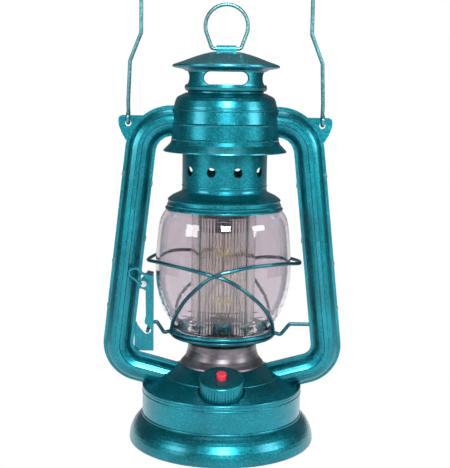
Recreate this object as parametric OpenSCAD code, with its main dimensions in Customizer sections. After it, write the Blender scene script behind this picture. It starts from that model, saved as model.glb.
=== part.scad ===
// Battery lantern in the shape of an old barn lantern: a pressed steel tank that holds
// two cells, two hollow side tubes, a hood with a lifting chimney, a glass globe in a
// wire guard, and a fluted lamp where the wick was. Z is up, the front faces -Y.

/* [Tank] */
// Radius over the rolled rim of the foot
base_r = 57.5; // [57:0.1:58.5]
// Radius of the rolled rim in section
rim_bead_r = 1.6; // [1.3:0.1:1.8]
// Radius of the bulged foot in profile
foot_curve_r = 18; // [16:0.5:19]
// Radius of the tank's upright wall
tank_r = 49.4; // [49.2:0.1:50]
// Height of the tank's shoulder
shoulder_z = 34.3; // [34:0.1:36]
// Radius of the shoulder's fold
shoulder_fold_r = 1.2; // [0.8:0.1:1.6]
// Radius of the crown that carries the gallery
crown_r = 25; // [24:0.2:26]
// Rise of the cone from shoulder to crown
cone_rise = 14.3; // [13.5:0.1:15]
// Radius of the cable hole in the crown
crown_hole_r = 14; // [10:0.5:15]
// Thickness of the pressed sheet
sheet_t = 0.8; // [0.7:0.05:0.9]

/* [Battery bay] */
// Diameter of a cell
cell_d = 33.2; // [32.5:0.1:33.5]
// Length of a cell over its button
cell_len = 60; // [59:0.2:60.4]
// Space between the two cells
cell_gap = 0.8; // [0.4:0.1:1]
// Space round a cell in its bay
cell_clear = 0.4; // [0.2:0.1:0.5]
// Room at each end of a cell for its contact
contact_room = 1.2; // [1:0.1:1.3]
// Wall of the moulded base and bay
bay_wall = 1.2; // [1:0.1:1.4]
// Radius of the battery cover
cover_r = 50; // [49.2:0.1:50.4]
// Thickness of the battery cover
cover_t = 1.7; // [1.4:0.1:1.9]
// Height of the battery cover over the floor
cover_lift = 1.3; // [1.1:0.1:1.6]
// Gap between the cover and the base it locks to
cover_gap = 0.3; // [0.2:0.05:0.4]
// Angle that the cover turns to unlock
cover_turn = 25; // [15:1:30]
// Number of bayonet lugs on the cover
lug_count = 3; // [2:1:4]

/* [Filler cap and switch] */
// Distance of the cap's seat from the axis
cap_reach = 35; // [34.6:0.1:35.2]
// Depth of the seat under the cone's surface
cap_recess = 4.2; // [4:0.1:4.4]
// Tilt of the cap towards the front
cap_tilt = 16; // [14:0.5:18]
// Radius of the cap over its top
cap_r = 13.3; // [13:0.1:13.4]
// Height of the cap
cap_h = 10.8; // [10:0.1:11]
// Number of grip flutes on the cap's skirt
cap_flutes = 44; // [36:1:52]
// Radius of the red push button
button_r = 3; // [2.6:0.1:3.2]
// Height of the button over the cap
button_out = 3.3; // [3:0.1:3.6]
// Travel of the button
button_travel = 2.2; // [1.8:0.1:2.4]
// Running clearance of the button in its bush
button_clear = 0.08; // [0.05:0.01:0.1]
// Width of the switch body
switch_w = 12.4; // [11.5:0.1:12.8]

/* [Gallery and lamp] */
// Height of the gallery over the crown
gallery_h = 14; // [13:0.2:15]
// Radius of the gallery at its top
gallery_r = 21.3; // [20.8:0.1:21.6]
// Radius of the gallery's foot
gallery_foot_r = 26; // [25.4:0.1:26.4]
// Outer radius of the fluted lens
lens_r = 19.7; // [19.4:0.1:19.9]
// Wall of the fluted lens
lens_wall = 1.9; // [1.7:0.1:2.1]
// Height of the fluted lens
lens_h = 79.8; // [78:0.2:81]
// Number of flutes round the lens
lens_flutes = 60; // [48:4:72]
// Depth of a flute
flute_depth = 0.5; // [0.3:0.05:0.7]
// Thickness of the circuit board
board_t = 1.6; // [1.2:0.1:2]
// Radius of the black lamp socket
socket_r = 11.5; // [10:0.5:12.5]
// Height of the black lamp socket
socket_h = 14.8; // [13:0.2:16]
// Width of the lamp post across its flats
post_w = 9; // [8:0.2:10]
// Height of the lamp post over its socket
post_h = 52; // [48:0.5:54]
// Radius of a lamp bead
bead_r = 2.5; // [2:0.1:2.8]

/* [Globe and guard] */
// Height of the globe's seat over the gallery
seat_rise = 8; // [7.4:0.2:9]
// Radius of the globe at its widest
globe_r = 41.7; // [41:0.1:42]
// Height of the globe
globe_h = 82.4; // [81.8:0.1:82.8]
// Thickness of the glass
glass_t = 2; // [1.8:0.1:2.4]
// Radius of the globe plate at its rolled edge
plate_r = 31.5; // [31:0.1:32]
// Radius of the rolled edge in section
plate_bead_r = 1.3; // [1.1:0.1:1.5]
// Radius of the guard wires
guard_wire_r = 1.1; // [0.9:0.1:1.2]
// Radius of the carrier wire
carrier_wire_r = 1.15; // [1:0.05:1.2]
// Travel of the globe carrier
globe_lift = 8; // [6:0.5:8]

/* [Chimney and hood] */
// Radius of the chimney tube
chimney_r = 25.8; // [25.4:0.1:26.2]
// Rim radius of the collar over the globe
collar_r = 35.9; // [35.6:0.1:36.2]
// Height of the chimney tube over the collar
chimney_h = 27; // [26:0.2:28]
// Number of vent holes in the chimney
vent_count = 10; // [8:1:12]
// Radius of a vent hole
vent_r = 2.8; // [2.4:0.1:3.2]
// Height of the vent holes over the collar
vent_rise = 11.1; // [10:0.1:12]
// Height of the hood's rim over the collar's foot
hood_rise = 35.2; // [34.6:0.2:36]
// Radius of the hood's body
hood_r = 32.2; // [31.8:0.1:32.6]
// Radius of the hood's flared rim
hood_rim_r = 37.5; // [37:0.1:38.2]
// Height of the hood
hood_h = 35.2; // [34.4:0.2:36]
// Radius of the neck that slides in the hood
neck_r = 22.9; // [22.5:0.1:23.2]
// Gap round the neck where it passes the hood
neck_clear = 0.4; // [0.3:0.05:0.6]
// Height of the windows in the cowl
window_h = 8; // [7:0.2:8.6]
// Width of the front and rear windows
window_w = 27.2; // [25:0.2:28]
// Width of the side windows
side_window_w = 22; // [20:0.2:23]
// Rim radius of the dome
dome_r = 32.4; // [32:0.1:33]
// Rise of the dome over its rim
dome_rise = 9; // [8.4:0.1:9.6]
// Radius of the finger ring's wire
ring_wire_r = 1.1; // [0.9:0.05:1.2]
// Radius of the finger ring to the middle of its wire
ring_r = 12.75; // [12.2:0.05:13.2]
// Running clearance of the finger ring in its strap
ring_clear = 0.06; // [0.03:0.01:0.1]

/* [Side tubes] */
// Half the width of a tube over its seams
tube_half_w = 9.3; // [9.1:0.05:9.5]
// Half the width of a tube's hollow body
tube_body_w = 7.4; // [7.2:0.05:7.5]
// Depth of a tube's half shell
tube_depth = 8; // [7.6:0.1:8.2]
// Width of the pressed rib along a tube
rib_w = 2.4; // [2:0.1:3]
// Height of the pressed rib
rib_h = 0.5; // [0.3:0.05:0.6]
// Thickness of the tube's sheet
tube_t = 0.7; // [0.6:0.05:0.75]
// Radius of the upper bend
top_bend_r = 19.5; // [19:0.1:20]
// Height at which the tubes enter the hood, over its rim
tube_entry = 18; // [17.6:0.1:18.4]
// Radius of the lower bend
low_bend_r = 15.3; // [15:0.1:15.6]
// Height of the lower bend's centre over the shoulder
low_bend_rise = 25.9; // [25.6:0.1:26.4]
// Slope of the tubes where they run down to the tank
arm_slope = 15; // [14:0.5:16]

/* [Bail] */
// Radius of the bail's wire
bail_wire_r = 1.15; // [1:0.05:1.2]
// Distance of the bail's eyes from the middle
bail_half_w = 58.9; // [58.7:0.1:59.1]
// Distance of the bail's upper legs from the middle
bail_leg_x = 51.2; // [50:0.2:52]
// Height of the bail's arch over its eyes
bail_h = 134.8; // [128:0.2:140]
// Radius of the bail's corners
bail_corner_r = 34; // [30:0.5:38]
// Inner radius of the bail's eyes
eye_inner_r = 1.9; // [1.85:0.05:2]
// Height of the strip of ear that the eye goes round
ear_strip = 2.9; // [2.7:0.05:3]
// Radius of the hole in the ear
ear_hole_r = 1.9; // [1.8:0.05:2]

/* [Lift lever] */
// Thickness of the lever's plate
lever_t = 1; // [0.8:0.1:1.1]
// Radius of the lever's rivet
rivet_r = 1.3; // [1.1:0.1:1.4]
// Gap between the lever and what it slides past
lever_gap = 0.3; // [0.25:0.05:0.4]
// Height of the rivet over the globe's seat
rivet_rise = 26.9; // [26.5:0.1:27.3]
// Radius clearance of the rivet in the lever
rivet_clear = 0.05; // [0.02:0.01:0.1]

/* [Hidden] */
$fn = 64;

// Paint and finishes
teal = "#0b7f86";
teal_dark = "#0a5f68";
steel = "#9a9aa0";
black = "#202226";
clear_glass = [0.82, 0.8, 0.84, 0.35];
clear_plastic = [0.85, 0.85, 0.84, 0.45];

// Heights that build on each other
crown_z = shoulder_z + cone_rise;
gallery_top = crown_z + gallery_h;
board_top = gallery_top + board_t;
seat_z = gallery_top + seat_rise;
globe_top = seat_z + globe_h;
// The collar's sloping top rests on the lip of the glass
collar_slope = 1.4 / 3;
lip_r = globe_r - 10.9;
collar_z = globe_top + 0.05
    - (8.4 + (collar_r - 4.4 - lip_r) * collar_slope - sheet_t * norm([1, collar_slope]));
chimney_z = collar_z + 12.8;
hood_z = collar_z + hood_rise;
hood_top = hood_z + hood_h;
cowl_z = hood_top + 0.6;
dome_z = cowl_z + 15.4;
dome_top = dome_z + dome_rise;
ring_bar_z = dome_top + 1.3;
entry_z = hood_z + tube_entry;
eye_z = entry_z + 1.4;

// Plane geometry
function unit(v) = v / norm(v);
function left_of(v) = [-v[1], v[0]];
function on_circle(c, r, a) = c + r * [cos(a), sin(a)];
function arc(c, r, a0, a1, n) = [for (i = [0:n]) on_circle(c, r, a0 + (a1 - a0) * i / n)];
function leg(p, i) = unit(p[i + 1] - p[i]);
// Corner i of a path, moved d to the left of the way along it
function moved(p, i, d) =
    let (b = leg(p, min(i, len(p) - 2)), m = unit(left_of(leg(p, max(i - 1, 0))) + left_of(b)))
    p[i] + m * d / (m * left_of(b));
// Outline of a sheet of thickness t whose outer face follows the path
function sheet(p, t) = concat(p, [for (i = [len(p) - 1:-1:0]) moved(p, i, t)]);

// A pressed or spun shell: its outer profile, followed upwards, turned round Z
module spun(path, t) { rotate_extrude() polygon(sheet(path, t)); }

// The same profile filled up to the axis, to cut other pieces against
module filled(path) {
    rotate_extrude() polygon(concat([[0, path[0][1]]], path, [[0, path[len(path) - 1][1]]]));
}

// A straight rod from p to q
module rod(p, q, r) {
    d = q - p;
    turn = atan2(d[1], d[0]);
    lean = acos(d[2] / norm(d));
    translate(p) rotate([0, lean, turn]) cylinder(h = norm(d), r = r);
}

// A rod bent round corner b on its way from a to c
module bend(a, b, c, bend_r, r) {
    u = unit(a - b);
    v = unit(c - b);
    half = acos(u * v) / 2;
    centre = b + unit(u + v) * bend_r / sin(half);
    x = unit(b + u * bend_r / tan(half) - centre);
    z = unit(cross(v, u));
    y = cross(z, x);
    multmatrix([[x[0], y[0], z[0], centre[0]], [x[1], y[1], z[1], centre[1]],
                [x[2], y[2], z[2], centre[2]], [0, 0, 0, 1]])
        rotate_extrude(angle = 180 - 2 * half) translate([bend_r, 0]) circle(r = r);
}
function bend_cut(a, b, c, bend_r) = bend_r / tan(acos(unit(a - b) * unit(c - b)) / 2);

// A wire through the points, bent to a radius at every inner corner. Its straight
// stretches lap a hair into the bends, which are a hair thicker, and so does what meets an end
lap = 0.1;
hair = 0.02;
module bent_wire(p, bend_r, r, end_lap = 0) {
    last = len(p) - 1;
    for (i = [0:last - 1]) {
        way = unit(p[i + 1] - p[i]);
        cut0 = i == 0 ? -end_lap : bend_cut(p[i - 1], p[i], p[i + 1], bend_r) - lap;
        cut1 = i == last - 1 ? -end_lap : bend_cut(p[i], p[i + 1], p[i + 2], bend_r) - lap;
        rod(p[i] + way * cut0, p[i + 1] - way * cut1, r);
    }
    for (i = [1:last - 1]) bend(p[i - 1], p[i], p[i + 1], bend_r, r + hair);
}

// A smooth curve through the points, in steps between each two of them
function between(a, b, c, d, t) =
    0.5 * (2 * b + (c - a) * t + (2 * a - 5 * b + 4 * c - d) * t * t + (3 * b - 3 * c + d - a) * t * t * t);
function smooth(p, steps) = concat(
    [for (i = [0:len(p) - 2]) for (k = [0:steps - 1])
        between(p[max(i - 1, 0)], p[i], p[i + 1], p[min(i + 2, len(p) - 1)], k / steps)],
    [p[len(p) - 1]]);

// A wire swept along a curve; side holds a vector at each point that the curve never follows
module swept_wire(p, r, side, sides = 8) {
    last = len(p) - 1;
    corners = [for (i = [0:last])
        let (t = unit(p[min(i + 1, last)] - p[max(i - 1, 0)]), s = unit(cross(t, side[i])), b = cross(t, s))
        for (k = [0:sides - 1]) p[i] + r * (cos(360 * k / sides) * s + sin(360 * k / sides) * b)];
    walls = [for (i = [0:last - 1]) for (k = [0:sides - 1])
        [i * sides + k, (i + 1) * sides + k, (i + 1) * sides + (k + 1) % sides, i * sides + (k + 1) % sides]];
    ends = [[for (k = [0:sides - 1]) k], [for (k = [sides - 1:-1:0]) last * sides + k]];
    polyhedron(points = corners, faces = concat(walls, ends), convexity = 6);
}

// Tank: foot, wall, shoulder and cone in one profile
foot_centre = [base_r - foot_curve_r, rim_bead_r];
crease_angle = acos((tank_r - foot_centre[0]) / foot_curve_r);
cone_angle = atan(cone_rise / (tank_r - crown_r));
fold_centre = [tank_r - shoulder_fold_r, shoulder_z - shoulder_fold_r];
tank_path = concat(
    arc(foot_centre, foot_curve_r, 0, crease_angle, 8),
    arc(fold_centre, shoulder_fold_r, 0, 90 - cone_angle, 3),
    [[crown_r, crown_z], [crown_hole_r, crown_z + 0.4]]);
function cone_z(r) = crown_z - (r - crown_r) * tan(cone_angle);

// Places of the cap, whose seat is a dished pan let into the cone
pan_r = cap_r + 0.9;
module at_cap() {
    translate([0, -cap_reach, cone_z(cap_reach) - cap_recess]) rotate([cap_tilt, 0, 0]) children();
}

module tank_shell() {
    color(teal) difference() {
        union() {
            difference() {
                spun(tank_path, sheet_t);
                at_cap() cylinder(h = 30, r = pan_r);
            }
            rotate_extrude() difference() {
                translate([base_r - rim_bead_r - 0.1, rim_bead_r - 0.1]) circle(r = rim_bead_r);
                translate([0, -5]) square([base_r + 5, 5]);
            }
            intersection() {
                filled(tank_path);
                at_cap() difference() {
                    translate([0, 0, -sheet_t]) cylinder(h = 30, r = pan_r + sheet_t);
                    cylinder(h = 31, r = pan_r);
                }
            }
        }
        at_cap() translate([-switch_w / 2 - 0.4, -switch_w / 2 - 0.4, -2])
            cube([switch_w + 0.8, switch_w + 0.8, 4]);
    }
}

// Moulded base that carries the two cells and closes the foot
base_t = 1.5;
base_z = cover_lift + cover_t + cover_gap;
base_plate_r = base_r - 1.9;
cell_x = (cell_d + cell_gap) / 2;
cell_z = base_z + cell_d / 2;
bay_in_r = cell_d / 2 + cell_clear;
bay_out_r = bay_in_r + bay_wall;
bay_half_y = cell_len / 2 + contact_room;
stem_r0 = cover_r + 1.5;
stem_r1 = stem_r0 + 1.4;
head_r = stem_r1 + 1.3;
hook_z = base_z + base_t + cover_gap;
lug_span = 9;

// A sector of a flat ring
module ring_sector(r0, r1, h, a0, a1) {
    rotate([0, 0, a0]) rotate_extrude(angle = a1 - a0) translate([r0, 0]) square([r1 - r0, h]);
}

// The outside or inside of the bay: two troughs over a box that is open below
module bay_form(r, half_y, low) {
    meet = acos(min(1, cell_x / r));
    first = r < cell_x - 0.001 ? 0 : 1;
    translate([0, half_y, 0]) rotate([90, 0, 0]) linear_extrude(height = 2 * half_y)
        polygon(concat([[-cell_x - r, low]], arc([-cell_x, cell_z], r, 180, meet, 24),
            [for (i = [first:24]) on_circle([cell_x, cell_z], r, (180 - meet) * (1 - i / 24))],
            [[cell_x + r, low]]));
}

module base_plate() {
    color(black) difference() {
        union() {
            translate([0, 0, base_z]) cylinder(h = base_t, r = base_plate_r);
            bay_form(bay_out_r, bay_half_y + bay_wall, base_z);
        }
        bay_form(bay_in_r, bay_half_y, base_z - 1);
        for (i = [0:lug_count - 1]) rotate([0, 0, 30 + 360 * i / lug_count]) translate([0, 0, base_z - 1]) {
            ring_sector(stem_r0 - 0.3, stem_r1 + 0.3, base_t + 2, -lug_span / 2 - 1, lug_span / 2 + cover_turn + 1);
            translate([0, 0, -0.2]) ring_sector(stem_r0 + 0.5, head_r + 0.3, base_t + 2.4,
                cover_turn - lug_span / 2 - 1, lug_span / 2 + cover_turn + 0.8);
        }
        for (s = [-1, 1]) translate([s * cell_x - 2, bay_half_y - 1, cell_z + 8]) cube([4, bay_wall + 2, 1.2]);
    }
}

module battery_cover() {
    color(black) difference() {
        union() {
            translate([0, 0, cover_lift]) cylinder(h = cover_t, r = stem_r1 + 0.3);
            for (i = [0:lug_count - 1]) rotate([0, 0, 30 + 360 * i / lug_count - lug_span / 2])
                rotate_extrude(angle = lug_span) polygon([[stem_r0, cover_lift + cover_t - 0.5],
                    [stem_r1, cover_lift + cover_t - 0.5], [stem_r1, hook_z], [head_r, hook_z],
                    [head_r, hook_z + 1.2], [stem_r0, hook_z + 1.2]]);
        }
        translate([-12, -1.2, cover_lift - 1]) cube([24, 2.4, 1.8]);
        for (s = [-1, 1]) translate([s * 34, 0, cover_lift - 1]) cylinder(h = 1.8, r = 7);
    }
}

// A cell lying along Y with its button at the end that way points to
module cell(x, way) {
    can = cell_len - 1.5;
    translate([x, 0, cell_z]) rotate([way > 0 ? -90 : 90, 0, 0]) translate([0, 0, -cell_len / 2]) {
        color("#3a3d44") cylinder(h = can, r = cell_d / 2);
        color(steel) cylinder(h = cell_len, r = 4.7);
    }
}
module cell_left() { cell(-cell_x, 1); }
module cell_right() { cell(cell_x, -1); }

// Coil springs press on the flat ends of the cells
module contact_springs() {
    turns = 3;
    coil = [for (i = [0:turns * 12]) let (a = 30 * i, f = i / (turns * 12))
        [(6 - 2.6 * f) * cos(a), (6 - 2.6 * f) * sin(a), 0.35 + (contact_room - 0.7) * f]];
    axis = [for (q = coil) [0, 0, 1]];
    for (s = [-1, 1]) color(steel)
        translate([s * cell_x, s * bay_half_y, cell_z]) rotate([s * 90, 0, 0]) swept_wire(coil, 0.3, axis, 6);
}

// Flat contacts at the button ends, with tabs through the bay's rear wall
module contact_plates() {
    for (s = [-1, 1]) color(steel) {
        translate([s * cell_x - 6, -s * (bay_half_y - 0.2) - 0.2, cell_z - 6]) cube([12, 0.4, 12]);
        translate([s * cell_x, -s * (bay_half_y - 0.4), cell_z]) rotate([s * 90, 0, 0])
            translate([0, 0, -contact_room + 0.4]) cylinder(h = contact_room - 0.4, r = 2.5);
    }
    for (s = [-1, 1]) color(steel)
        translate([s * cell_x - 1.8, bay_half_y - 0.4, cell_z + 8.1]) cube([3.6, bay_wall + 3, 1]);
}

// Threaded neck under the cap
neck_out_r = cap_r - 1.7;
module filler_neck() {
    color(teal_dark) at_cap() difference() {
        cylinder(h = cap_h - 2.4, r = neck_out_r);
        translate([0, 0, -1]) cylinder(h = cap_h, r = neck_out_r - 1);
    }
}

// Filler cap: a disc with a rounded edge over a skirt with grip flutes
skirt_r = cap_r - 0.35;
bush_r = button_r + 0.75;
module filler_cap() {
    flutes = [for (i = [0:2 * cap_flutes - 1])
        on_circle([0, 0], i % 2 == 0 ? skirt_r : skirt_r - 0.55, 180 * i / cap_flutes)];
    top = cap_h;
    color(teal) at_cap() difference() {
        union() {
            translate([0, 0, 0.4]) linear_extrude(height = cap_h - 1.9) polygon(flutes);
            rotate_extrude() polygon(concat([[0, top - 1.6]], arc([cap_r - 0.8, top - 0.8], 0.8, -90, 90, 6),
                [[cap_r - 3, top + 0.15], [bush_r + 1, top], [0, top]]));
        }
        translate([0, 0, -1]) cylinder(h = cap_h - 0.3, r = neck_out_r + 0.15);
        cylinder(h = cap_h + 2, r = bush_r + 0.15);
    }
}

tab_x = 3.2;
module switch_body() {
    body_top = cap_h - 1.3;
    color(black) at_cap() difference() {
        union() {
            translate([-switch_w / 2, -switch_w / 2, -3]) cube([switch_w, switch_w, body_top + 3 - 0.3]);
            cylinder(h = cap_h - 0.4, r = bush_r);
            for (s = [-1, 1]) translate([s * tab_x - 0.4, -1.5, -5.4]) cube([0.8, 3, 2.6]);
        }
        translate([0, 0, body_top - 5]) cylinder(h = 8, r = button_r + button_clear);
    }
}

module power_button() {
    top = cap_h + button_out;
    foot = cap_h - 1.3 - 5 + button_travel + 0.4;
    color("#cf2c45") at_cap() rotate_extrude() polygon(concat([[0, foot], [button_r, foot]],
        arc([button_r - 0.7, top - 0.7], 0.7, 0, 80, 4), [[0, top]]));
}

// Bright gallery that once carried the burner
gallery_path = [[gallery_foot_r, crown_z - 0.05], [gallery_foot_r - 0.3, crown_z + 0.9],
    [gallery_foot_r - 1.8, crown_z + 2.6], [gallery_r + 1.5, crown_z + 4.6], [gallery_r + 0.7, crown_z + 7],
    [gallery_r + 0.1, crown_z + 9.6], [gallery_r, gallery_top - 0.8], [gallery_r - 0.6, gallery_top],
    [crown_hole_r - 2, gallery_top]];
screw_x = 14.2;
screw_hole_r = 1.15;
module screw_holes() {
    for (s = [-1, 1]) translate([s * screw_x, 0, gallery_top - 2]) cylinder(h = board_t + 4, r = screw_hole_r);
}
module gallery() {
    color("#8f8890") difference() {
        spun(gallery_path, sheet_t);
        screw_holes();
        at_cap() cylinder(h = cap_h + 4, r = cap_r + 0.4);
    }
}

// Lamp: board, black socket, post with lamp beads and black tip
board_r = lens_r - 0.7;
module lamp_board() {
    color("#2c5a3c") difference() {
        translate([0, 0, gallery_top]) cylinder(h = board_t, r = board_r);
        screw_holes();
        for (s = [-1, 1]) translate([0, s * 8, gallery_top - 1]) cylinder(h = board_t + 2, r = 2 * lead_r);
    }
}
module board_screws() {
    for (s = [-1, 1]) color(steel) translate([s * screw_x, 0, 0]) {
        translate([0, 0, gallery_top - 3]) cylinder(h = board_t + 3, r = screw_hole_r - 0.05);
        translate([0, 0, board_top]) cylinder(h = 1.1, r = 2);
    }
}
socket_top = board_top + socket_h;
post_top = socket_top + post_h;
tip_h = 7;
lens_top = board_top + lens_h;
module lamp_socket() {
    color(black) rotate_extrude() polygon([[0, board_top], [socket_r, board_top], [socket_r, board_top + 2],
        [socket_r - 1, board_top + 3], [socket_r - 1, socket_top - 1.4], [socket_r - 2.4, socket_top],
        [0, socket_top]]);
}
module lamp_post() {
    color("#d9d6c8") translate([0, 0, socket_top]) cylinder(h = post_h, r = post_w / 2 / cos(30), $fn = 6);
}
module lamp_tip() {
    color(black) {
        rotate_extrude() polygon([[0, post_top], [9, post_top], [9, post_top + tip_h - 1], [8, post_top + tip_h],
            [0, post_top + tip_h]]);
        translate([0, 0, post_top]) cylinder(h = lens_top - post_top, r = 2.4);
    }
}
module lamp_beads() {
    rows = [9, 24, 39];
    for (j = [0:2]) for (k = [0:2]) color("#f2efc4")
        rotate([0, 0, 120 * k + 30 + 60 * (j % 2)]) translate([post_w / 2, 0, socket_top + rows[j]])
            rotate([0, 90, 0]) {
                cylinder(h = 1, r = bead_r + 0.4);
                cylinder(h = 4.2, r = bead_r);
                translate([0, 0, 4.2]) sphere(r = bead_r);
            }
}
module lens_tube() {
    outline = [for (i = [0:2 * lens_flutes - 1])
        on_circle([0, 0], i % 2 == 0 ? lens_r : lens_r - flute_depth, 180 * i / lens_flutes)];
    color(clear_plastic) translate([0, 0, board_top]) difference() {
        linear_extrude(height = lens_h) polygon(outline);
        translate([0, 0, -1]) cylinder(h = lens_h + 2, r = lens_r - lens_wall);
    }
}
module lens_cap() {
    plug_r = lens_r - lens_wall - 0.1;
    color(steel) difference() {
        rotate_extrude() polygon([[0, lens_top], [plug_r - 1.5, lens_top - 0.01], [plug_r - 1.5, lens_top - 3],
            [plug_r, lens_top - 3], [plug_r, lens_top], [lens_r + 0.5, lens_top], [lens_r + 0.5, lens_top + 1.4],
            [lens_r - 1, lens_top + 2.4], [0, lens_top + 2.4]]);
        translate([0, 0, lens_top + 1.2]) cylinder(h = 2, r = 3.4);
    }
}

// Leads: from the right tab to the board, from the left tab to the switch, and on to the board
lead_r = 0.7;
tab_y = bay_half_y + bay_wall + 2;
tab_z = cell_z + 9.1 + lead_r;
// Foot of the switch's tabs, under the tilted seat of the cap
tab_foot = [tab_x, -cap_reach + 6.1 * sin(cap_tilt), cone_z(cap_reach) - cap_recess - 6.1 * cos(cap_tilt)];
red_route = [[cell_x, tab_y, tab_z], [cell_x + 1, tab_y + 0.6, tab_z + 7], [cell_x - 1, 31.2, cell_z + 20.2],
    [12, 22, crown_z - 5.2], [4, 12, crown_z - 2], [1, 8.5, crown_z + 5], [0, 8, gallery_top - 2],
    [0, 8, board_top]];
switch_route = [[-cell_x, tab_y, tab_z], [-cell_x - 1, tab_y + 0.6, tab_z + 7], [1 - cell_x, 31.2, cell_z + 20.2],
    [-9, 24, cell_z + 20], [-2, 12, cell_z + 16], [0, -4, cell_z + 11.4], [0, -22, cell_z + 11.4],
    [1.5, -29.5, tab_foot[2] - 0.8], tab_foot + [0, 0.4, 0]];
black_route = [[-tab_foot[0], tab_foot[1] + 0.4, tab_foot[2]], [-4, -27, shoulder_z + 2], [-6, -20, crown_z - 8],
    [-3, -12, crown_z - 3], [-1, -8.5, crown_z + 5], [0, -8, gallery_top - 2], [0, -8, board_top]];
module lead(route) {
    line = smooth(route, 3);
    swept_wire(line, lead_r, [for (q = line) [1, 0.1, 0]], 6);
}
module lead_red() { color("#b02a2a") lead(red_route); }
module lead_switch() { color("#c9b23a") lead(switch_route); }
module lead_black() { color("#1b1b1e") lead(black_route); }

// Side tubes. A half shell is drawn across the seam: x runs from the seam nearest the
// globe outwards, y away from the seam plane
body_arc = [for (i = [0:5]) let (a = 13.5 * i) [tube_body_w * cos(a), tube_t + (tube_depth - tube_t) * sin(a)]];
half_right = concat([[tube_half_w, 0], [tube_half_w, tube_t]], body_arc,
    [[rib_w / 2 + 0.3, tube_depth], [rib_w / 2, tube_depth + rib_h]]);
half_outer = concat(half_right, [for (i = [len(half_right) - 1:-1:0]) [-half_right[i][0], half_right[i][1]]]);
hollow_right = [for (q = body_arc) [q[0] - tube_t, q[1] - tube_t * 1.05 + (q[1] > tube_t ? 0 : 0)]];
half_hollow = concat([[tube_body_w - tube_t, -0.2]], [for (i = [1:5]) hollow_right[i]],
    [[rib_w / 2 - 0.3, tube_depth - tube_t], [-rib_w / 2 + 0.3, tube_depth - tube_t]],
    [for (i = [5:-1:1]) [-hollow_right[i][0], hollow_right[i][1]]], [[-tube_body_w + tube_t, -0.2]]);
module half_section(k = 1) { difference() { polygon(half_outer * k); polygon(half_hollow * k); } }

top_bend = [hood_r - 0.2, entry_z - top_bend_r];
low_bend = [tank_r, shoulder_z + low_bend_rise];
bends = low_bend - top_bend;
// Angle of the straight stretch: the common tangent of the two bends
lean = atan2(bends[1], bends[0]) + acos((top_bend_r - low_bend_r) / norm(bends));
arm_end = arm_slope - 90;
// Distance of a tube's middle from the axis at height z on the straight stretch
function tube_x(z) =
    (top_bend[0] * cos(lean) + top_bend[1] * sin(lean) + top_bend_r - sin(lean) * z) / cos(lean);

// The half section run straight from point p for a length, square to angle a. It laps a
// hair into the bends at its ends, and is a hair narrower than they are
fit = 0.998;
module straight_run(p, a, length) {
    multmatrix([[cos(a), 0, sin(a), p[0]], [0, -1, 0, 0], [sin(a), 0, -cos(a), p[1]], [0, 0, 0, 1]])
        translate([0, 0, -lap]) linear_extrude(height = length + 2 * lap) half_section(fit);
}
// The half section turned round a bend's centre from angle a1 up to a0
module bend_run(c, r, a0, a1) {
    translate([c[0], 0, c[1]]) rotate([90, 0, 0]) rotate([0, 0, a1])
        rotate_extrude(angle = a0 - a1) translate([r, 0]) half_section();
}
stub = 8;
reach_in = 34;
hood_path = [[hood_rim_r, hood_z], [hood_rim_r - 0.2, hood_z + 0.7], [hood_rim_r - 1.9, hood_z + 2.4],
    [hood_rim_r - 4, hood_z + 4.6], [hood_r + 0.4, hood_z + 6.8], [hood_r + 0.7, hood_z + 7.4],
    [hood_r + 0.3, hood_z + 8.2], [hood_r + 0.2, hood_z + 15.9], [hood_r + 0.5, hood_z + 16.6],
    [hood_r - 0.1, hood_z + 17.4], [hood_r - 1, hood_top - 8], [hood_r - 1.9, hood_top - 4.6],
    [hood_r - 2.8, hood_top - 2.8], [hood_r - 4, hood_top - 2], [neck_r + 1.5, hood_top - 0.2],
    [neck_r + neck_clear, hood_top]];

// Ear for the bail, a lug on the outer seam of both halves
ear_top = eye_z + eye_inner_r - 0.3;
ear_hole_z = ear_top - ear_strip - ear_hole_r;
module ear() {
    tip = bail_half_w + 6;
    rotate([90, 0, 0]) linear_extrude(height = tube_t) difference() {
        polygon([[bail_half_w - 9, ear_top], [tip - 2.4, ear_top], [tip - 0.6, ear_top - 0.8], [tip, ear_top - 2.4],
            [tip - 0.3, ear_top - 6], [tip - 2, ear_top - 10.4], [tip - 4.6, ear_top - 15],
            [bail_half_w - 4, ear_top - 15], [bail_half_w - 9, ear_top - 6]]);
        translate(top_bend) circle(r = top_bend_r + tube_half_w - 1);
        translate([bail_half_w, ear_hole_z]) circle(r = ear_hole_r);
    }
}

module tube_half() {
    difference() {
        union() {
            straight_run([top_bend[0] - stub, entry_z], 90, stub);
            bend_run(top_bend, top_bend_r, 90, lean);
            straight_run(on_circle(top_bend, top_bend_r, lean), lean,
                norm(on_circle(low_bend, low_bend_r, lean) - on_circle(top_bend, top_bend_r, lean)));
            bend_run(low_bend, low_bend_r, lean, arm_end);
            straight_run(on_circle(low_bend, low_bend_r, arm_end), arm_end, reach_in);
            ear();
        }
        filled(hood_path);
        filled(tank_path);
    }
}

// Slot behind the inner seam of the right tube, where the carrier's arm slides
arm_z = seat_z + 2.3;
arm_y = tube_t + 0.35 + carrier_wire_r;
module arm_slot() {
    slack = carrier_wire_r + 0.25;
    translate([tube_x(arm_z) - tube_half_w - 1, arm_y - slack, arm_z - slack])
        cube([8, 2 * slack, 2 * slack + globe_lift]);
}

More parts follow.
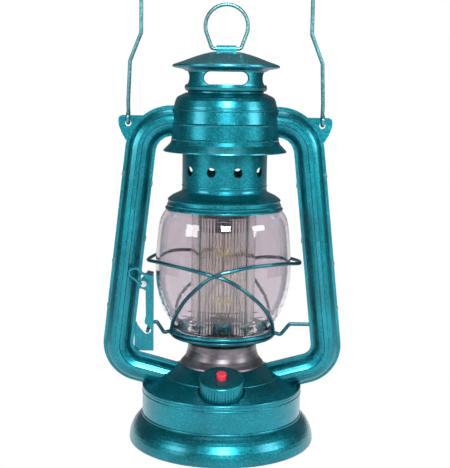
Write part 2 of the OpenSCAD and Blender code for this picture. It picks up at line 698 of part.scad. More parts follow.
// Lug on the inner seam of the left tube, which carries the lift lever's rivet
rivet_z = seat_z + rivet_rise;
rivet_head_r = rivet_r + 0.65;
rivet_x = -(tube_x(rivet_z) - tube_half_w - rivet_head_r - 0.15);
module rivet_lug() {
    edge = -tube_x(rivet_z) + tube_half_w;
    translate([0, tube_t, 0]) rotate([90, 0, 0]) linear_extrude(height = tube_t) difference() {
        union() {
            translate([rivet_x, rivet_z]) circle(r = 3);
            translate([edge - 1.2, rivet_z - 3]) square([rivet_x - edge + 1.2, 6]);
        }
        translate([rivet_x, rivet_z]) circle(r = rivet_r);
    }
}
module tube_right_front() { color(teal) tube_half(); }
module tube_left_front() { color(teal) mirror([1, 0, 0]) tube_half(); }
module tube_right_rear() {
    color(teal) difference() {
        mirror([0, 1, 0]) tube_half();
        arm_slot();
    }
}
module tube_left_rear() {
    color(teal) {
        mirror([1, 0, 0]) mirror([0, 1, 0]) tube_half();
        rivet_lug();
    }
}

module hood() {
    color(teal) difference() {
        spun(hood_path, sheet_t);
        translate([-50, 0, entry_z]) rotate([0, 90, 0]) cylinder(h = 100, r = 5.5);
    }
}

// Lift lever: a plate with a hooked slot, hung on the rivet behind the inner seam
lever_y = tube_t + lever_gap;
catch = [rivet_x + 2.6, rivet_z - 30];
module lever_rivet() {
    back = lever_y + lever_t + lever_gap;
    color(steel) translate([rivet_x, 0, rivet_z]) rotate([-90, 0, 0]) {
        translate([0, 0, -0.8]) cylinder(h = 0.8, r = rivet_head_r);
        cylinder(h = back + 0.1, r = rivet_r);
        translate([0, 0, back]) cylinder(h = 0.8, r = rivet_head_r);
    }
}
// Points of the lever are measured from the rivet
module lever_plate() {
    difference() {
        polygon([[6.3, 7.4], [2.6, 8.2], [-1.6, 3], [-2.4, -2], [-1.4, -3.2], [1.2, -4.4], [1.4, -20], [0.7, -23.6],
            [0.7, -25.2], [3.1, -26.9], [4.6, -29], [4.4, -31], [2.6, -32.2], [0.8, -31.8], [-1.2, -29.6],
            [-3.6, -26.5], [-4.2, -24.4], [-5.6, -24.4], [-5.6, -42.7], [6.3, -42.7]]);
        circle(r = rivet_r + rivet_clear);
    }
}
// Rolled thumb piece in front of the tube
curl = [[6.3, 7.4], [0.4, 8.9], [-1.4, 11.4], [-4, 12.4], [-7, 11.7], [-8.5, 9.6], [-7.7, 6.9], [-0.6, 1.3]];
module lift_lever() {
    curl_y = -tube_depth - rib_h - lever_gap - 0.4;
    color(teal) translate([rivet_x, 0, rivet_z]) {
        translate([0, lever_y + lever_t, 0]) rotate([90, 0, 0]) linear_extrude(height = lever_t) lever_plate();
        translate([0, lever_y + lever_t, 0]) rotate([90, 0, 0])
            linear_extrude(height = lever_y + lever_t - curl_y + 3.6)
                polygon([[6.3, 7.4], [6.3, 6.4], [2.9, 7.2], [2.9, 8.3]]);
        translate([0, curl_y, 0]) rotate([90, 0, 0]) linear_extrude(height = 3.6) polygon(sheet(curl, 1));
    }
}

// Carrier: a wire ring under the globe plate with an arm to each tube
carrier_z = seat_z - 0.6 - plate_bead_r - carrier_wire_r - hair - 0.03;
hook_y = lever_y + lever_t + 0.35 + carrier_wire_r;
module carrier_wire() {
    color(teal) {
        translate([0, 0, carrier_z]) rotate_extrude() translate([plate_r, 0]) circle(r = carrier_wire_r + hair);
        bent_wire([[plate_r, arm_y, carrier_z], [plate_r + 5, arm_y, carrier_z - 1.5],
            [plate_r + 10.5, arm_y, arm_z], [tube_x(arm_z) - tube_half_w + 4.2, arm_y, arm_z]], 2, carrier_wire_r);
        bent_wire([[-plate_r + 0.2, hook_y, carrier_z], [-plate_r - 5, hook_y, carrier_z - 1.5],
            [-plate_r - 9.5, hook_y, arm_z], [catch[0] + 1.5, hook_y, arm_z - 0.5],
            [catch[0], hook_y, catch[1]], [catch[0], lever_y - 0.8, catch[1]]], 1.3, carrier_wire_r);
    }
}

// Globe plate with a rolled edge
plate_hole_r = lens_r + 2.2;
module globe_plate() {
    color(teal) rotate_extrude() union() {
        translate([plate_r, seat_z - 0.6]) circle(r = plate_bead_r);
        translate([plate_hole_r, seat_z - sheet_t]) square([plate_r - plate_hole_r, sheet_t]);
    }
}

// Guard wires, each a long bow from the plate over one side of the globe and back.
// A row holds the angle from the front, the radius and the height over the seat.
foot_at = plate_r + plate_bead_r + guard_wire_r + 0.02 - (globe_r - 41.7);
right_bow = [[-68, foot_at, -0.9], [-61, 35, 4.4], [-43, 39.2, 15.9], [-28, 42.8, 26.9], [-8, 45.4, 39.9],
    [11, 44.6, 44.2], [25, 43.9, 45.6], [46, 44.4, 45.6], [62, 45.4, 44.6], [78, 47, 42.8], [88, 47.3, 42.2],
    [95, 47, 42], [106, 45.4, 41.8], [123, 44.2, 41], [140, 43.8, 39.6], [155, 43.5, 37.2], [171, 43.2, 33.9],
    [188, 43.2, 28.9], [205, 42.8, 22.9], [220, 41.2, 16.9], [233, 38.6, 10.4], [243, 35.6, 4.9], [250, foot_at, -0.9]];
left_bow = [[68, foot_at, -0.9], [61, 35, 4.6], [43, 39.2, 15.6], [27, 42.6, 25.4], [13, 43.3, 33.6], [1, 43.2, 38.4],
    [-8, 43.2, 40.2], [-24, 43.5, 42.8], [-43, 44.2, 44.3], [-60, 45.2, 44.6], [-78, 46.2, 43.4],
    [-88, 46.3, 42.6], [-95, 46.1, 42.4], [-106, 45.2, 42.8], [-120, 44.6, 43.6], [-133, 44.4, 43.8],
    [-151, 44.4, 42.6], [-170, 45.2, 39.4], [-189, 45.4, 34.2], [-200, 44.6, 28.8], [-211, 43.5, 22.4],
    [-221, 41.4, 16.4], [-232, 38.8, 10.4], [-243, 35.6, 4.8], [-250, foot_at, -0.9]];
module guard_wire(bow) {
    rows = smooth(bow, 3);
    line = [for (q = rows) let (r = q[1] + globe_r - 41.7) [r * sin(q[0]), -r * cos(q[0]), seat_z + q[2]]];
    color(teal) swept_wire(line, guard_wire_r, [for (q = line) [q[0], q[1], 0]]);
}
module guard_wire_right() { guard_wire(right_bow); }
module guard_wire_left() { guard_wire(left_bow); }

// Globe: height over the seat and radius of the outer face
globe_form = [[0, 29.6], [0.8, 29.8], [2.6, 30.8], [5, 32.4], [7.6, 34.2], [10.2, 35.7], [13, 37], [17, 38.6],
    [22, 40], [27, 41], [32, 41.5], [37.5, 41.7], [44, 41.6], [50, 41.2], [56, 40.7], [62, 40.1], [66, 39.5],
    [69, 38.7], [71.5, 37.4], [73.4, 35.9], [75, 34.4], [76.6, 32.6], [78.4, 31.3], [80.6, 30.8],
    [82.4, 30.8]];
module globe() {
    path = [for (q = globe_form) [q[1] + globe_r - 41.7, seat_z + q[0] * globe_h / 82.4]];
    color(clear_glass) spun(path, glass_t);
}

// Chimney group: collar over the globe, tube with vent holes, cowl with windows, dome
collar_path = [[collar_r, collar_z], [collar_r - 0.1, collar_z + 0.8], [collar_r - 1.1, collar_z + 2.3],
    [collar_r - 0.9, collar_z + 2.9], [collar_r - 1.5, collar_z + 3.6], [collar_r - 1.6, collar_z + 5.2],
    [collar_r - 1.3, collar_z + 5.8], [collar_r - 1.9, collar_z + 6.6], [collar_r - 4.4, collar_z + 8.4],
    [collar_r - 7.4, collar_z + 9.8], [chimney_r + 0.6, collar_z + 10.8], [chimney_r + 0.2, collar_z + 11.6],
    [chimney_r, chimney_z], [chimney_r - sheet_t, chimney_z], [chimney_r - sheet_t, chimney_z + 4]];
module globe_collar() { color(teal) spun(collar_path, sheet_t); }

chimney_top = chimney_z + chimney_h;
module chimney_tube() {
    color(teal) difference() {
        spun([[chimney_r, chimney_z], [chimney_r, chimney_top - 1.4], [chimney_r - 0.8, chimney_top - 0.4],
            [chimney_r - 1.6, chimney_top], [neck_r, chimney_top]], sheet_t);
        for (i = [0:vent_count - 1]) translate([0, 0, collar_z + 12.8 + vent_rise])
            rotate([90, 0, 360 * (i + 0.5) / vent_count]) translate([0, 0, chimney_r - 5]) cylinder(h = 10, r = vent_r);
    }
}

window_z = cowl_z + 4.3;
module window(w) {
    rotate([90, 0, 0]) linear_extrude(height = 80, center = true) union() {
        translate([-(w - window_h) / 2, 0]) square([w - window_h, window_h]);
        for (s = [-1, 1]) translate([s * (w - window_h) / 2, window_h / 2]) circle(r = window_h / 2);
    }
}
module cowl() {
    color(teal) difference() {
        spun([[neck_r, chimney_top - 1.6], [neck_r, cowl_z + 0.2], [neck_r + 1.6, cowl_z + 1],
            [neck_r + 2.1, cowl_z + 2.6], [neck_r + 1.7, cowl_z + 3.8], [neck_r + 1.5, cowl_z + 5],
            [neck_r + 1.5, cowl_z + 11.6], [neck_r + 2, cowl_z + 12.7], [neck_r + 3.4, cowl_z + 13.4],
            [dome_r - 1.6, cowl_z + 14.1], [dome_r - 1, cowl_z + 14.5]], sheet_t);
        translate([0, 0, window_z]) window(window_w);
        translate([0, 0, window_z]) rotate([0, 0, 90]) window(side_window_w);
    }
}

dome_path = [[dome_r - 0.3, dome_z - 0.9], [dome_r, dome_z - 0.3], [dome_r - 0.1, dome_z + 0.4],
    [dome_r - 1, dome_z + 0.9], [25.2, dome_z + 0.34 * dome_rise], [19, dome_z + 0.6 * dome_rise],
    [14, dome_z + 0.775 * dome_rise], [9.5, dome_z + 0.9 * dome_rise], [5, dome_z + 0.98 * dome_rise],
    [2, dome_top], [0, dome_top]];
module dome() { color(teal) spun(dome_path, sheet_t); }

strap_half = 6;
module ring_strap() {
    out_r = ring_wire_r + 0.9;
    color(teal) difference() {
        union() {
            translate([-strap_half, 0, ring_bar_z]) rotate([0, 90, 0]) cylinder(h = 2 * strap_half, r = out_r);
            translate([-strap_half, -out_r, dome_top - 1]) cube([2 * strap_half, 2 * out_r, ring_bar_z - dome_top + 1]);
            translate([-strap_half, -6.5, dome_top - 2]) cube([2 * strap_half, 13, 2.5]);
        }
        translate([-20, 0, ring_bar_z]) rotate([0, 90, 0]) cylinder(h = 40, r = ring_wire_r + ring_clear);
        filled(dome_path);
    }
}

// Finger ring: a round loop flattened to a straight bar that turns in the strap
module finger_ring() {
    open = 20;
    c = [0, 0, ring_bar_z + ring_r + 0.55];
    side_x = ring_r * cos(open);
    side_z = c[2] - ring_r * sin(open);
    bar_x = side_x - (side_z - ring_bar_z) * tan(open);
    color(teal) {
        translate(c) rotate([90, 0, 0]) rotate([0, 0, -open])
            rotate_extrude(angle = 180 + 2 * open) translate([ring_r, 0]) circle(r = ring_wire_r + hair);
        bent_wire([[-side_x, 0, side_z], [-bar_x, 0, ring_bar_z], [bar_x, 0, ring_bar_z], [side_x, 0, side_z]],
            2, ring_wire_r, lap);
    }
}

// Bail: closed eyes round the ears, cranked legs and a three-centred arch
module bail() {
    eye_r = eye_inner_r + bail_wire_r;
    above = 9;
    touch = acos(eye_r / above);
    crank_z = eye_z + 34;
    leg_top = eye_z + bail_h - 38.6;
    spread = 60;
    corner_x = bail_leg_x - bail_corner_r;
    crown_r2 = bail_corner_r + corner_x / cos(spread);
    crown_c = leg_top - corner_x * tan(spread);
    color(teal_dark) {
        for (s = [-1, 1]) {
            x = s * bail_half_w;
            translate([x, 0, eye_z]) rotate([90, 0, 90]) rotate([0, 0, 90 - touch - 270])
                rotate_extrude(angle = 270) translate([eye_r, 0]) circle(r = bail_wire_r + hair);
            bent_wire([[x, eye_r * sin(touch), eye_z + eye_r * cos(touch)], [x, 0, eye_z + above],
                [s * (bail_half_w - 1), 0, crank_z], [s * bail_leg_x, 0, crank_z + 17], [s * bail_leg_x, 0, leg_top]],
                3.5, bail_wire_r, lap);
            translate([s * corner_x, 0, leg_top]) rotate([90, 0, 0]) rotate([0, 0, s > 0 ? 0 : 180 - spread])
                rotate_extrude(angle = spread) translate([bail_corner_r, 0]) circle(r = bail_wire_r + hair);
        }
        // The crown of the arch laps over both corners
        over = 0.2;
        translate([0, 0, crown_c]) rotate([90, 0, 0]) rotate([0, 0, spread - over])
            rotate_extrude(angle = 180 - 2 * (spread - over)) translate([crown_r2, 0])
                circle(r = bail_wire_r + 2 * hair);
    }
}

tank_shell();
base_plate();
battery_cover();
cell_left();
cell_right();
contact_springs();
contact_plates();
filler_neck();
filler_cap();
switch_body();
power_button();
gallery();
lamp_board();
board_screws();
lamp_socket();
lamp_post();
lamp_beads();
lamp_tip();
lens_tube();
lens_cap();
lead_red();
lead_switch();
lead_black();
tube_right_front();
tube_right_rear();
tube_left_front();
tube_left_rear();
hood();
lever_rivet();
lift_lever();
carrier_wire();
globe_plate();
guard_wire_right();
guard_wire_left();
globe();
globe_collar();
chimney_tube();
cowl();
dome();
ring_strap();
finger_ring();
bail();
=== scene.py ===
# %% [markdown]
# # A battery lantern in teal metallic lacquer
# The real lantern is pressed sheet steel, sprayed with a lacquer full of fine flecks, round
# a blown glass globe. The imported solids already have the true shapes. This lesson gives
# them their finishes, adds the pressed beads, seam locks, solder and welds that are too
# small for the solids, and lights them as in the photograph.

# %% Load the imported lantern
import math

import bmesh
import bpy
from mathutils import Matrix, Vector


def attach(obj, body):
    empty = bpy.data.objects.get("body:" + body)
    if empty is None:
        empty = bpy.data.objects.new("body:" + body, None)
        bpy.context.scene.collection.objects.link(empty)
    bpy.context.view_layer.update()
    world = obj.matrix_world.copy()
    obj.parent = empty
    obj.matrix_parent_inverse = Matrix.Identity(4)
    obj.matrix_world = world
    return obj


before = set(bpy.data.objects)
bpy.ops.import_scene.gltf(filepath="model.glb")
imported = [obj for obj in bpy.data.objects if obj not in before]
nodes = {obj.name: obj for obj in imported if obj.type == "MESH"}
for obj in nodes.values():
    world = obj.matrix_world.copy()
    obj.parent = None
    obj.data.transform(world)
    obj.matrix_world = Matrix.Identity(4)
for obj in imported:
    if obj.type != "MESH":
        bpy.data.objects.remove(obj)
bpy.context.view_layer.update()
print("the packed lantern has", len(nodes), "pieces")

# %% [markdown]
# ## Small helpers
# Colours are written as they look on a screen, and one function turns them into the
# linear values that light is reckoned in. A second one adds a shader node with its
# settings and its links, so that a material reads like a recipe.

# %% Colours and shader nodes
MM = 0.001


def colour(hex_code):
    """A linear colour from a screen colour such as "#0b8086"."""
    parts = [int(hex_code[i:i + 2], 16) / 255 for i in (1, 3, 5)]
    return [c / 12.92 if c <= 0.04045 else ((c + 0.055) / 1.055) ** 2.4 for c in parts] + [1]


def add(material, kind, inputs=None, **settings):
    """A shader node with its settings; each input is a value, or another node's output."""
    node = material.node_tree.nodes.new(kind)
    for key, value in settings.items():
        setattr(node, key, value)
    for key, value in (inputs or {}).items():
        if isinstance(value, bpy.types.NodeSocket):
            material.node_tree.links.new(value, node.inputs[key])
        else:
            node.inputs[key].default_value = value
    return node


def new_material(name):
    """An empty material, and the place of a point on its piece, in metres."""
    material = bpy.data.materials.new(name)
    material.use_nodes = True
    material.node_tree.nodes.clear()
    place = add(material, "ShaderNodeTexCoord").outputs["Object"]
    return material, place


def steps(material, value, *stops):
    """A colour ramp over a value: each stop is a position and a screen colour."""
    ramp = add(material, "ShaderNodeValToRGB", {"Fac": value})
    while len(ramp.color_ramp.elements) < len(stops):
        ramp.color_ramp.elements.new(0.5)
    for element, (position, hex_code) in zip(ramp.color_ramp.elements, stops):
        element.position = position
        element.color = colour(hex_code)
    return ramp.outputs["Color"]


def finish_surface(material, **inputs):
    """The surface shader, with the inputs named as on the Principled node."""
    named = {key.replace("_", " "): value for key, value in inputs.items()}
    surface = add(material, "ShaderNodeBsdfPrincipled", named)
    add(material, "ShaderNodeOutputMaterial", {"Surface": surface.outputs["BSDF"]})
    return material


print("helpers are ready")

# %% [markdown]
# ## Metallic lacquer
# The tank, tubes, hood and chimney are sprayed with a teal lacquer that carries aluminium
# flecks, under a clear gloss. To the eye it is a deep green-blue that sparkles, goes nearly
# black where it mirrors something dark, and has a faint orange peel. Cells of a Voronoi
# pattern are the flecks. Real ones are under 0.2 mm, and are drawn at 0.45 mm to show.

# %% Teal fleck lacquer
FLECK = 0.45 * MM
PEEL = 2.2 * MM
CLOUD = 28 * MM


def fleck_lacquer(name, deep, middle, bright, roughness, fleck_share=0.86):
    """A metallic lacquer from three screen colours."""
    material, place = new_material(name)
    fleck = add(material, "ShaderNodeTexVoronoi", {"Vector": place, "Scale": 1 / FLECK})
    grey = add(material, "ShaderNodeSeparateColor", {"Color": fleck.outputs["Color"]}).outputs["Red"]
    flecks = steps(material, grey, (0.0, deep), (0.3, middle), (fleck_share - 0.06, middle), (0.97, bright))
    cloud = add(material, "ShaderNodeTexNoise", {"Vector": place, "Scale": 1 / CLOUD, "Detail": 5.0})
    shade = steps(material, cloud.outputs["Fac"], (0.3, "#c4c4c4"), (0.7, "#ffffff"))
    mixed = add(material, "ShaderNodeMix", {6: flecks, 7: shade, 0: 1.0}, data_type="RGBA",
                blend_type="MULTIPLY")
    peel = add(material, "ShaderNodeTexNoise", {"Vector": place, "Scale": 1 / PEEL, "Detail": 3.0})
    spread = add(material, "ShaderNodeMapRange", {"Value": grey, "To Min": roughness - 0.07,
                                                  "To Max": roughness + 0.09})
    bump = add(material, "ShaderNodeBump", {"Height": peel.outputs["Fac"], "Strength": 0.12,
                                            "Distance": 0.05 * MM})
    sparkle = add(material, "ShaderNodeBump", {"Height": grey, "Strength": 0.1, "Distance": 0.03 * MM,
                                               "Normal": bump.outputs["Normal"]})
    return finish_surface(material, Base_Color=mixed.outputs[2], Metallic=0.9,
                          Roughness=spread.outputs["Result"], Coat_Weight=0.25, Coat_Roughness=0.18,
                          Normal=sparkle.outputs["Normal"])


teal_lacquer = fleck_lacquer("teal_fleck_lacquer", "#056a78", "#077786", "#1a98a2", 0.34)
# A darker copy of the teal lacquer for the wires; on the filler neck under the cap it is painted shade.
wire_and_neck_shade_lacquer = fleck_lacquer("wire_and_neck_shade_lacquer", "#074650", "#0a5662", "#177480", 0.38)
ring_and_highlight_lacquer = fleck_lacquer("ring_and_highlight_lacquer", "#3f6e74", "#4f868a", "#6fa6a8", 0.36)
bail_lacquer = fleck_lacquer("bail_lacquer", "#3b727a", "#4a8a92", "#6ea8ac", 0.34)
print("lacquers:", teal_lacquer.name, wire_and_neck_shade_lacquer.name, ring_and_highlight_lacquer.name, bail_lacquer.name)

# %% [markdown]
# ## Bare and lacquered metal
# The gallery has a silver-grey satin lacquer over spun steel, with fine rings left by the
# spinning tool. Screws, springs and rivets are bright zinc plate, which is a little milky.

# %% Spun grey metal and zinc plate


def spun_metal(name, dark, light, roughness, ring_pitch):
    """A metal with fine rings at a real pitch in metres, turned round the lantern's axis."""
    material, place = new_material(name)
    rings = add(material, "ShaderNodeTexWave", {"Vector": place, "Scale": 1 / ring_pitch, "Distortion": 1.5,
                                                "Detail": 2.0}, wave_type="BANDS", bands_direction="Z")
    stain = add(material, "ShaderNodeTexNoise", {"Vector": place, "Scale": 1 / (9 * MM), "Detail": 6.0})
    tone = steps(material, stain.outputs["Fac"], (0.32, dark), (0.62, light))
    bump = add(material, "ShaderNodeBump", {"Height": rings.outputs["Fac"], "Strength": 0.15,
                                            "Distance": 0.03 * MM})
    spread = add(material, "ShaderNodeMapRange", {"Value": stain.outputs["Fac"], "To Min": roughness - 0.08,
                                                  "To Max": roughness + 0.1})
    return finish_surface(material, Base_Color=tone, Metallic=0.85, Roughness=spread.outputs["Result"],
                          Normal=bump.outputs["Normal"])


grey_metal = spun_metal("grey_spun_metal", "#4c484e", "#6c666e", 0.34, 6 * MM)
zinc_plate = spun_metal("zinc_plate", "#8f9194", "#c5c7ca", 0.32, 3 * MM)
print("metals:", grey_metal.name, zinc_plate.name)

# %% [markdown]
# ## Glass and clear plastic
# The globe is blown soda-lime glass with faint waves; its grey-purple tint is partly its own
# cast and partly painted shade of a darker surround seen through it. The lamp tube is
# moulded clear acrylic whose flutes spread the light, so it is milkier. Both have real
# walls in the solids, so the light bends by itself.

# %% Globe glass and fluted acrylic


def clear_body(name, tint, ior, roughness, wave, strength):
    """A clear material with waves of a real width in metres."""
    material, place = new_material(name)
    waves = add(material, "ShaderNodeTexNoise", {"Vector": place, "Scale": 1 / wave, "Detail": 2.0})
    bump = add(material, "ShaderNodeBump", {"Height": waves.outputs["Fac"], "Strength": strength,
                                            "Distance": 0.2 * MM})
    return finish_surface(material, Base_Color=colour(tint), Roughness=roughness, IOR=ior,
                          Transmission_Weight=1.0, Normal=bump.outputs["Normal"])


# The globe's tint is partly painted shade of a darker surround seen through the glass.
globe_glass = clear_body("blown_globe_glass", "#ddd6dc", 1.5, 0.02, 30 * MM, 0.12)
fluted_acrylic = clear_body("fluted_acrylic", "#f4f2ee", 1.45, 0.08, 4 * MM, 0.1)
print("clear bodies:", globe_glass.name, fluted_acrylic.name)

# %% [markdown]
# ## Moulded plastics
# Battery cover, socket and switch are black ABS with a fine spark texture. The push button
# is polished red ABS. The lamp beads are clear resin over a yellow phosphor, and a faint
# glow on them is a painted highlight.

# %% ABS, resin and wire covers


def moulding(name, low, high, roughness, grain=0.8 * MM, strength=0.1, painted_glow=0.0):
    """A moulded plastic with a fine grain of a real width in metres, and a faint painted glow."""
    material, place = new_material(name)
    texture = add(material, "ShaderNodeTexNoise", {"Vector": place, "Scale": 1 / grain, "Detail": 4.0})
    tone = steps(material, texture.outputs["Fac"], (0.35, low), (0.65, high))
    bump = add(material, "ShaderNodeBump", {"Height": texture.outputs["Fac"], "Strength": strength,
                                            "Distance": 0.05 * MM})
    return finish_surface(material, Base_Color=tone, Roughness=roughness, Normal=bump.outputs["Normal"],
                          Emission_Color=colour(high), Emission_Strength=painted_glow)


black_abs = moulding("black_abs", "#151619", "#26282c", 0.42)
red_abs = moulding("red_abs", "#ab1a2e", "#c22c40", 0.25, strength=0.03)
ivory_abs = moulding("ivory_abs", "#c9c5b6", "#dedbce", 0.5)
# The beads' faint glow is a painted highlight: they shine although the lamp is not lit.
bead_resin = moulding("bead_resin", "#d8cf8a", "#f3edc0", 0.12, painted_glow=0.15)
board_mask = moulding("board_mask", "#1f4a30", "#2f6340", 0.35)
cell_wrap = moulding("cell_wrap", "#34373d", "#484c54", 0.3)
red_cover = moulding("red_lead_cover", "#9c2020", "#b83030", 0.4)
yellow_cover = moulding("yellow_lead_cover", "#b09a2c", "#c9b44a", 0.4)
print("plastics are ready")

# %% [markdown]
# ## Dress the solids
# Each solid keeps its shape and takes a finish by the material slot it already has.

# %% Give each solid its finish
finishes = {
    teal_lacquer: ["tank_shell", "filler_cap", "tube_right_front", "tube_right_rear", "tube_left_front",
                   "tube_left_rear", "hood", "lift_lever", "globe_plate", "globe_collar", "chimney_tube",
                   "cowl", "dome", "ring_strap"],
    # The filler neck takes the darker lacquer as painted shade under the cap.
    wire_and_neck_shade_lacquer: ["guard_wire_right", "guard_wire_left", "carrier_wire", "filler_neck"],
    ring_and_highlight_lacquer: ["finger_ring"],
    bail_lacquer: ["bail"],
    grey_metal: ["gallery", "lens_cap"],
    zinc_plate: ["contact_springs", "contact_plates", "board_screws", "lever_rivet"],
    globe_glass: ["globe"],
    fluted_acrylic: ["lens_tube"],
    black_abs: ["base_plate", "battery_cover", "switch_body", "lamp_socket", "lamp_tip", "lead_black"],
    red_abs: ["power_button"],
    ivory_abs: ["lamp_post"],
    bead_resin: ["lamp_beads"],
    board_mask: ["lamp_board"],
    cell_wrap: ["cell_left", "cell_right"],
    red_cover: ["lead_red"],
    yellow_cover: ["lead_switch"],
}
dressed = 0
for material, names in finishes.items():
    for name in names:
        for slot in nodes[name].material_slots:
            slot.material = material
        dressed += 1
print(dressed, "solids have a finish")

# %% [markdown]
# ## Pressed beads
# The tank, hood and collar carry narrow raised beads, rolled into the sheet to stiffen it.
# Each is half a round moulding, so a short arc is drawn once and spun round the axis.

# %% Spin the beads


def select_nothing():
    """Operators act on all that is selected, so each piece starts from nothing."""
    if bpy.context.mode != "OBJECT":
        bpy.ops.object.mode_set(mode="OBJECT")
    bpy.ops.object.select_all(action="DESELECT")


def hand_over(piece, name, material, body):
    """Names a finished piece, gives it its finish, and lets it ride on its body."""
    piece.name = name
    piece.data.name = name
    piece.data.materials.clear()
    piece.data.materials.append(material)
    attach(piece, body)
    return piece


def apply_place():
    """Moves the place, turn and scale of the active piece into its mesh."""
    bpy.ops.object.transform_apply(location=True, rotation=True, scale=True)


def pressed_bead(name, radius, height, proud, half_width, slope=0.0, body="frame"):
    """A bead round the axis; slope leans it back, in degrees, for a coned wall."""
    select_nothing()
    bpy.ops.mesh.primitive_circle_add(vertices=12, radius=1, location=(0, 0, 0))
    piece = bpy.context.object
    lean = math.radians(slope)
    for i, vertex in enumerate(piece.data.vertices):
        turn = 2 * math.pi * i / 12
        out, up = proud * math.cos(turn), half_width * math.sin(turn)
        vertex.co = Vector(((radius + out * math.cos(lean) - up * math.sin(lean)) * MM, 0,
                            (height + out * math.sin(lean) + up * math.cos(lean)) * MM))
    bpy.ops.object.mode_set(mode="EDIT")
    bpy.ops.mesh.select_all(action="SELECT")
    bpy.ops.mesh.spin(steps=96, angle=2 * math.pi, center=(0, 0, 0), axis=(0, 0, 1))
    bpy.ops.mesh.select_all(action="SELECT")
    bpy.ops.mesh.remove_doubles(threshold=0.00001)
    bpy.ops.mesh.normals_make_consistent(inside=False)
    bpy.ops.object.mode_set(mode="OBJECT")
    bpy.ops.object.shade_smooth()
    return hand_over(piece, name, teal_lacquer, body)


pressed_bead("tank_crease_bead", 49.3, 17.2, 0.7, 0.9)
pressed_bead("tank_wall_bead", 49.3, 31.2, 0.45, 0.7)
pressed_bead("shoulder_bead", 48.6, 34.4, 1.1, 1.1)
pressed_bead("cone_step_bead", 36.0, 42.2, 0.4, 0.9, slope=60)
pressed_bead("hood_upper_bead", 31.9, 205.5, 0.35, 0.6)
pressed_bead("collar_lip_bead", 35.5, 145.8, 0.6, 0.6, body="chimney")
pressed_bead("chimney_top_bead", 25.7, 159.7, 0.4, 0.6, body="chimney")
print("the beads are spun")

# %% [markdown]
# ## Seam locks
# The two halves of each side tube are held by little folded tabs, hammered over the seam.
# The lacquer is thin on their corners, and they take the lighter ring lacquer as a painted
# highlight where they catch the light. One tab is a cube whose
# outer end is drawn in and whose edges are rounded, and the others are copies.

# %% Fold the seam locks


def seam_lock(name, x, z, lean):
    """A folded tab over a tube's seam at (x, z), leaning with the tube, in degrees."""
    select_nothing()
    bpy.ops.mesh.primitive_cube_add(size=1, location=(0, 0, 0))
    piece = bpy.context.object
    piece.scale = (2.0 * MM, 2.3 * MM, 3.4 * MM)
    apply_place()
    bpy.ops.object.mode_set(mode="EDIT")
    bpy.ops.mesh.select_all(action="DESELECT")
    bpy.ops.object.mode_set(mode="OBJECT")
    outward = 1 if x > 0 else -1
    for face in piece.data.polygons:
        face.select = face.normal.x * outward > 0.5
    bpy.ops.object.mode_set(mode="EDIT")
    bpy.ops.transform.resize(value=(1, 0.7, 0.72), center_override=(0, 0, 0))
    bpy.ops.object.mode_set(mode="OBJECT")
    rounding = piece.modifiers.new("rounding", "BEVEL")
    rounding.width = 0.45 * MM
    rounding.segments = 3
    bpy.ops.object.modifier_apply(modifier=rounding.name)
    bpy.ops.object.shade_smooth_by_angle(angle=math.radians(40))
    piece.rotation_euler = (0, math.radians(lean), 0)
    piece.location = (x * MM, 0, z * MM)
    apply_place()
    # The lighter ring lacquer is a painted highlight on the tab's corners, besides thin lacquer.
    return hand_over(piece, name, ring_and_highlight_lacquer, "frame")


def tube_middle(z):
    """Distance of a side tube's middle from the axis on its straight stretch."""
    return 51.75 + (177.4 - z) * math.tan(math.radians(6.34))


SEAM = 8.7
for side, tag in ((1, "right"), (-1, "left")):
    for number, (z, offset) in enumerate(((166, SEAM), (112, SEAM), (84, SEAM), (126, -SEAM), (160, -SEAM))):
        seam_lock(f"seam_lock_{tag}_{number}", side * (tube_middle(z) + offset), z, -side * 6.34)
print("the seam locks are folded")

# %% [markdown]
# ## Solder and spot welds
# The guard wires are soldered to the globe plate at their feet. A drop of solder is a
# sphere drawn down at its foot. The strap of the finger ring is spot welded to the dome.

# %% Drop the solder and welds


def drop(name, x, y, z, radius, flat, material, body):
    """A drop of metal, squashed and drawn out at its foot."""
    select_nothing()
    bpy.ops.mesh.primitive_uv_sphere_add(segments=20, ring_count=12, radius=radius * MM, location=(0, 0, 0))
    piece = bpy.context.object
    for vertex in piece.data.vertices:
        if vertex.co.z < 0:
            vertex.co.x *= 1.15
            vertex.co.y *= 1.15
        vertex.co.z *= flat
    bpy.ops.object.shade_smooth()
    piece.location = (x * MM, y * MM, z * MM)
    apply_place()
    return hand_over(piece, name, material, body)


for number, angle in enumerate((68, -68, 250, -250)):
    turn = math.radians(angle)
    drop(f"guard_solder_{number}", 33.1 * math.sin(turn), -33.1 * math.cos(turn), 70.2, 1.5, 0.9,
         wire_and_neck_shade_lacquer, "carrier")
for side in (1, -1):
    for row in (1, -1):
        drop(f"strap_weld_{'r' if side > 0 else 'l'}{'f' if row > 0 else 'b'}", side * 3.6, row * -4.6, 241.1,
             0.9, 0.35, teal_lacquer, "chimney")
print("solder and welds are on")

# %% [markdown]
# ## Room, light and camera
# The photograph has a white ground and soft light from the front and above. The white is
# in the colours of the floor and of the world as the camera and the glass see them. The
# gloss of the lacquer sees a dimmer tent, with dark boards that give it its dark flanks.

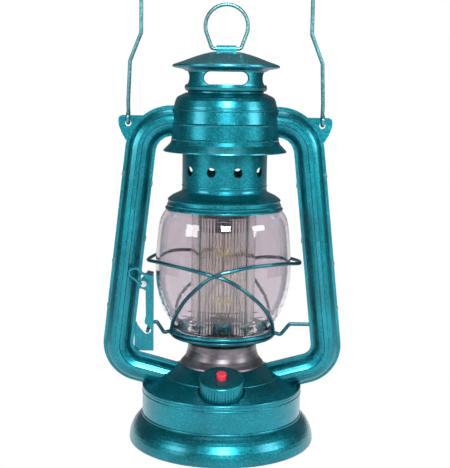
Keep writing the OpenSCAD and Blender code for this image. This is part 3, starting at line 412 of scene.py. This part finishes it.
# %% White room
WHITE_LEVEL = 1.0
GLOSS_LEVEL = 0.16
FILL_LEVEL = 0.36
scene = bpy.context.scene
world = bpy.data.worlds.new("white_tent")
scene.world = world
world.use_nodes = True
world.node_tree.nodes.clear()
rays = add(world, "ShaderNodeLightPath")
seen = add(world, "ShaderNodeMath", {0: rays.outputs["Is Camera Ray"], 1: rays.outputs["Is Transmission Ray"]},
           operation="MAXIMUM")
unseen = add(world, "ShaderNodeMapRange", {"Value": rays.outputs["Is Glossy Ray"], "To Min": FILL_LEVEL,
                                           "To Max": GLOSS_LEVEL})
level = add(world, "ShaderNodeMapRange", {"Value": seen.outputs[0], "To Min": unseen.outputs["Result"],
                                          "To Max": WHITE_LEVEL})
shine = add(world, "ShaderNodeBackground", {"Color": [1, 1, 1, 1], "Strength": level.outputs["Result"]})
add(world, "ShaderNodeOutputWorld", {"Surface": shine.outputs["Background"]})

select_nothing()
bpy.ops.mesh.primitive_plane_add(size=6, location=(0, 0, -0.0002))
floor = bpy.context.object
floor.name = "floor"
paper, _ = new_material("white_paper")
rays = add(paper, "ShaderNodeLightPath")
seen = add(paper, "ShaderNodeMath", {0: rays.outputs["Is Camera Ray"], 1: rays.outputs["Is Transmission Ray"]},
           operation="MAXIMUM")
sheet = add(paper, "ShaderNodeBsdfDiffuse", {"Color": colour("#f4f4f4")})
white = add(paper, "ShaderNodeEmission", {"Color": [1, 1, 1, 1], "Strength": WHITE_LEVEL})
ground = add(paper, "ShaderNodeMixShader", {0: seen.outputs[0], 1: sheet.outputs["BSDF"],
                                            2: white.outputs["Emission"]})
add(paper, "ShaderNodeOutputMaterial", {"Surface": ground.outputs["Shader"]})
floor.data.materials.append(paper)

board_grey, _ = new_material("grey_board")
finish_surface(board_grey, Base_Color=colour("#101416"), Roughness=0.9)
for name, x, y, turn, width in (("left_board", -0.55, 0.1, 80, 0.5), ("right_board", 0.55, 0.1, -80, 0.5),
                                ("left_strip", -0.22, -0.75, 20, 0.12), ("right_strip", 0.34, -0.72, -28, 0.1)):
    select_nothing()
    bpy.ops.mesh.primitive_plane_add(size=1, location=(0, 0, 0))
    board = bpy.context.object
    board.name = name
    board.scale = (width, 0.9, 1)
    board.rotation_euler = (math.radians(90), 0, math.radians(turn))
    board.location = (x, y, 0.4)
    board.data.materials.append(board_grey)
    board.visible_camera = False
    board.visible_diffuse = False
    board.visible_shadow = False
    board.visible_transmission = False
print("the room is white")

# %% Lamps


def panel(name, place, aim, width, watts):
    """A soft square lamp at a place, turned to an aim."""
    lamp = bpy.data.lights.new(name, "AREA")
    lamp.shape = "SQUARE"
    lamp.size = width
    lamp.energy = watts
    holder = bpy.data.objects.new(name, lamp)
    holder.location = place
    holder.rotation_euler = (Vector(aim) - Vector(place)).to_track_quat("-Z", "Y").to_euler()
    scene.collection.objects.link(holder)


panel("key_lamp", (0.05, -0.9, 0.62), (0, 0, 0.14), 0.28, 15.0)
panel("left_lamp", (-0.7, -0.45, 0.35), (0, 0, 0.12), 0.35, 3.0)
panel("right_lamp", (0.75, -0.35, 0.4), (0, 0, 0.12), 0.35, 4.0)
panel("top_lamp", (0.0, 0.15, 0.95), (0, 0, 0.15), 0.5, 4.0)
print("the lamps are on")

# %% [markdown]
# The camera stands 0.64 m in front at a height of 0.22 m, looks down by 8 degrees and is
# rolled by less than one, as solved from the rings of the lantern in the photograph.

# %% Camera
LENS, SENSOR = 80.97, 36.0
LOOK_DOWN, ROLL = 8.235, 0.849
view = bpy.data.cameras.new("camera")
view.lens = LENS
view.sensor_width = SENSOR
view.shift_x = 0.0028
holder = bpy.data.objects.new("camera", view)
scene.collection.objects.link(holder)
holder.matrix_world = (Matrix.Translation((0, -0.6414, 0.2223))
                       @ Matrix.Rotation(math.radians(90 - LOOK_DOWN), 4, "X")
                       @ Matrix.Rotation(math.radians(ROLL), 4, "Z"))
scene.camera = holder
scene.render.engine = "CYCLES"
scene.cycles.samples = 128
scene.cycles.use_denoising = True
scene.cycles.max_bounces = 24
scene.cycles.transmission_bounces = 20
scene.render.resolution_x = 900
scene.render.resolution_y = 936
scene.view_settings.view_transform = "Standard"
print("the camera is at", [round(v, 3) for v in holder.location])
